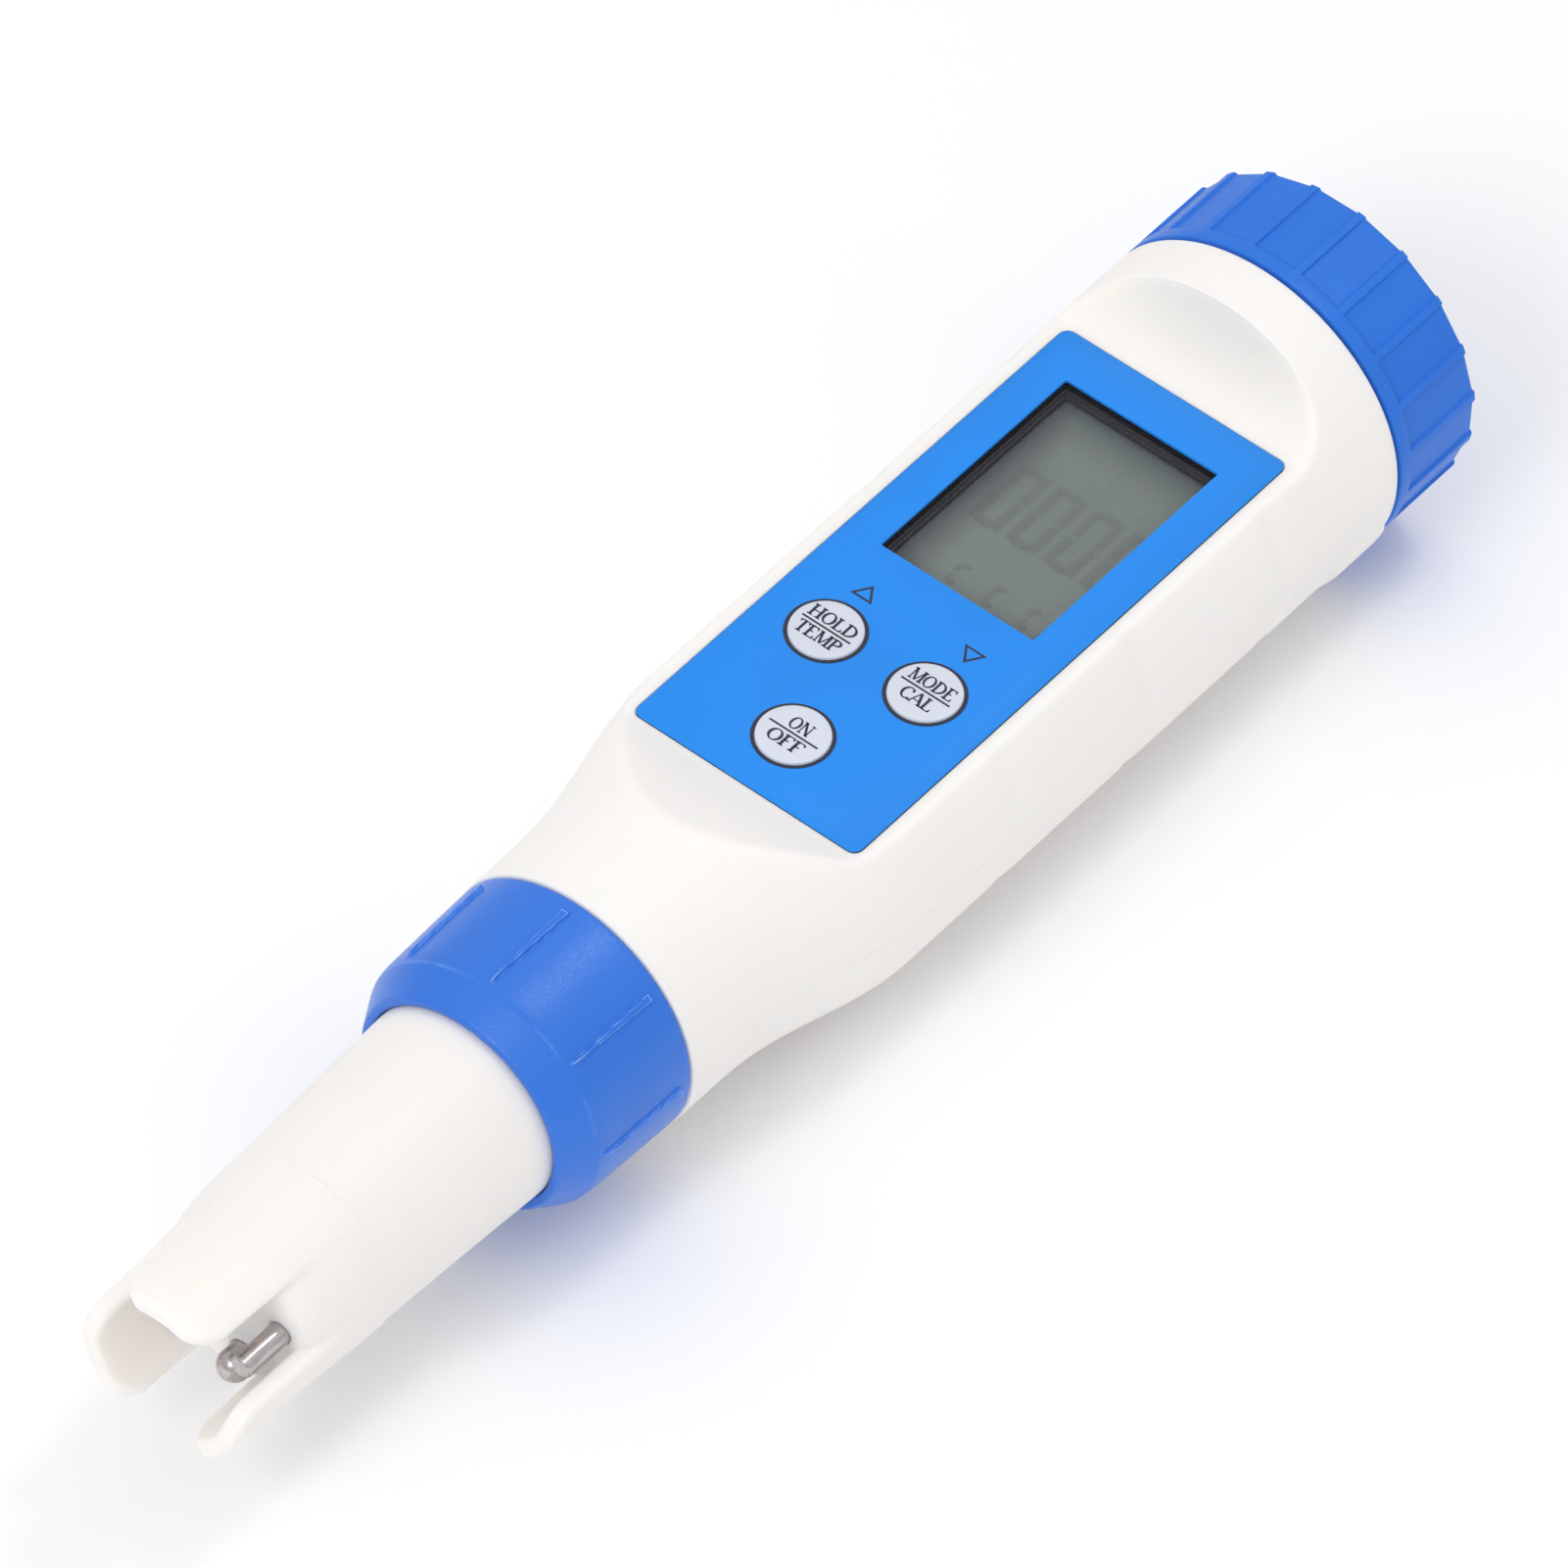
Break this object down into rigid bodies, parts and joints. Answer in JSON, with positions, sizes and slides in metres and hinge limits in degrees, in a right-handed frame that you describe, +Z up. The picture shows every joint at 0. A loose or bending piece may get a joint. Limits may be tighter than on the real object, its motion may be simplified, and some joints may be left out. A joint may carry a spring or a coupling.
{
  "type": "pen-shaped ph meter",
  "caption": "Handheld pen-shaped meter with a display, round keys, a screw-on battery cap, and an electrode held by a collar nut with sensors inside a finned guard.",
  "frame": {"origin": "under the middle of the pen, on the flat surface that it lies on", "axes": "+X along the pen from the electrode's tip to the battery cap, +Z up out of the display, +Y across the display so that X, Y and Z are right-handed"},
  "size_m": [0.1818, 0.038, 0.0384],
  "materials": {
    "black_rubber": "matte black",
    "blue_plastic": "satin, deep blue",
    "bulb_glass": "clear",
    "cell_steel": "nickel plated",
    "chassis_nylon": "matte dark grey",
    "chip_epoxy": "matte black",
    "circuit_board": "green solder mask",
    "clear_window": "clear",
    "contact_brass": "bright",
    "junction_ceramic": "porous ceramic, cream",
    "key_silicone": "pale, soft-touch",
    "label_film": "printed film, bright blue",
    "lcd_face": "grey-green display",
    "pin_gold": "gold plated",
    "plunger_plastic": "matte dark",
    "probe_steel": "polished",
    "screw_steel": "zinc plated",
    "shield_can": "tinned",
    "silver_wire": "silver",
    "switch_steel": "tinned",
    "white_plastic": "satin, warm white"
  },
  "bodies": {
    "meter_body": {"battery_spring": "contact_brass", "battery_strip": "contact_brass", "battery_tray": "chassis_nylon", "bluetooth_module": "shield_can", "board_screw_1": "screw_steel", "board_screw_2": "screw_steel", "board_screw_3": "screw_steel", "board_screw_4": "screw_steel", "body_shell": "white_plastic", "button_cell_1": "cell_steel", "button_cell_2": "cell_steel", "button_cell_3": "cell_steel", "button_cell_4": "cell_steel", "cap_o_ring": "black_rubber", "chassis_frame": "chassis_nylon", "controller_chip": "chip_epoxy", "electrode_socket": "chassis_nylon", "face_label": "label_film", "lcd_gasket": "black_rubber", "lcd_glass": "lcd_face", "lcd_window": "clear_window", "main_board": "circuit_board", "switch_hold": "switch_steel", "switch_mode": "switch_steel", "switch_power": "switch_steel", "zebra_strip_left": "black_rubber", "zebra_strip_right": "black_rubber"},
    "electrode": {"electrode_tube": "white_plastic", "electrode_plug": "chassis_nylon", "electrode_o_ring": "black_rubber", "ph_glass_bulb": "bulb_glass", "ph_silver_wire": "silver_wire", "reference_junction": "junction_ceramic", "reference_wire": "silver_wire", "conductivity_pin_1": "probe_steel", "conductivity_pin_2": "probe_steel", "temperature_probe": "probe_steel", "contact_pin_1": "pin_gold", "contact_pin_2": "pin_gold", "contact_pin_3": "pin_gold", "contact_pin_4": "pin_gold", "contact_pin_5": "pin_gold", "contact_pin_6": "pin_gold"},
    "collar": {"collar_nut": "blue_plastic"},
    "cap_contact": {"cap_contact_disc": "contact_brass"},
    "cap": {"battery_cap": "blue_plastic"},
    "key_power": {"button_power": "key_silicone", "plunger_power": "plunger_plastic"},
    "key_hold": {"button_hold": "key_silicone", "plunger_hold": "plunger_plastic"},
    "key_mode": {"button_mode": "key_silicone", "plunger_mode": "plunger_plastic"}
  },
  "joints": [
    {"name": "cap_travel", "type": "slide", "parent": "meter_body", "child": "cap_contact", "axis": [1, 0, 0], "range_m": [0, 0.006]},
    {"name": "cap_turn", "type": "hinge", "parent": "cap_contact", "child": "cap", "pos_m": [0.0781, 0, 0.0194], "axis": [1, 0, 0], "range_deg": [0, 720.5]},
    {"name": "electrode_travel", "type": "slide", "parent": "meter_body", "child": "electrode", "axis": [-1, 0, 0], "range_m": [0, 0.006]},
    {"name": "collar_turn", "type": "hinge", "parent": "electrode", "child": "collar", "pos_m": [-0.0319, 0, 0.0194], "axis": [-1, 0, 0], "range_deg": [0, 720.5]},
    {"name": "press_power", "type": "slide", "parent": "meter_body", "child": "key_power", "axis": [0, 0, -1], "range_m": [0, 0.0003], "stiffness_N_per_m": 1000},
    {"name": "press_hold", "type": "slide", "parent": "meter_body", "child": "key_hold", "axis": [0, 0, -1], "range_m": [0, 0.0003], "stiffness_N_per_m": 1000},
    {"name": "press_mode", "type": "slide", "parent": "meter_body", "child": "key_mode", "axis": [0, 0, -1], "range_m": [0, 0.0003], "stiffness_N_per_m": 1000}
  ],
  "couplings": [
    {"joint": "cap_turn", "follows": "cap_travel", "rad_per_m": 2094.4},
    {"joint": "collar_turn", "follows": "electrode_travel", "rad_per_m": 2094.4}
  ]
}
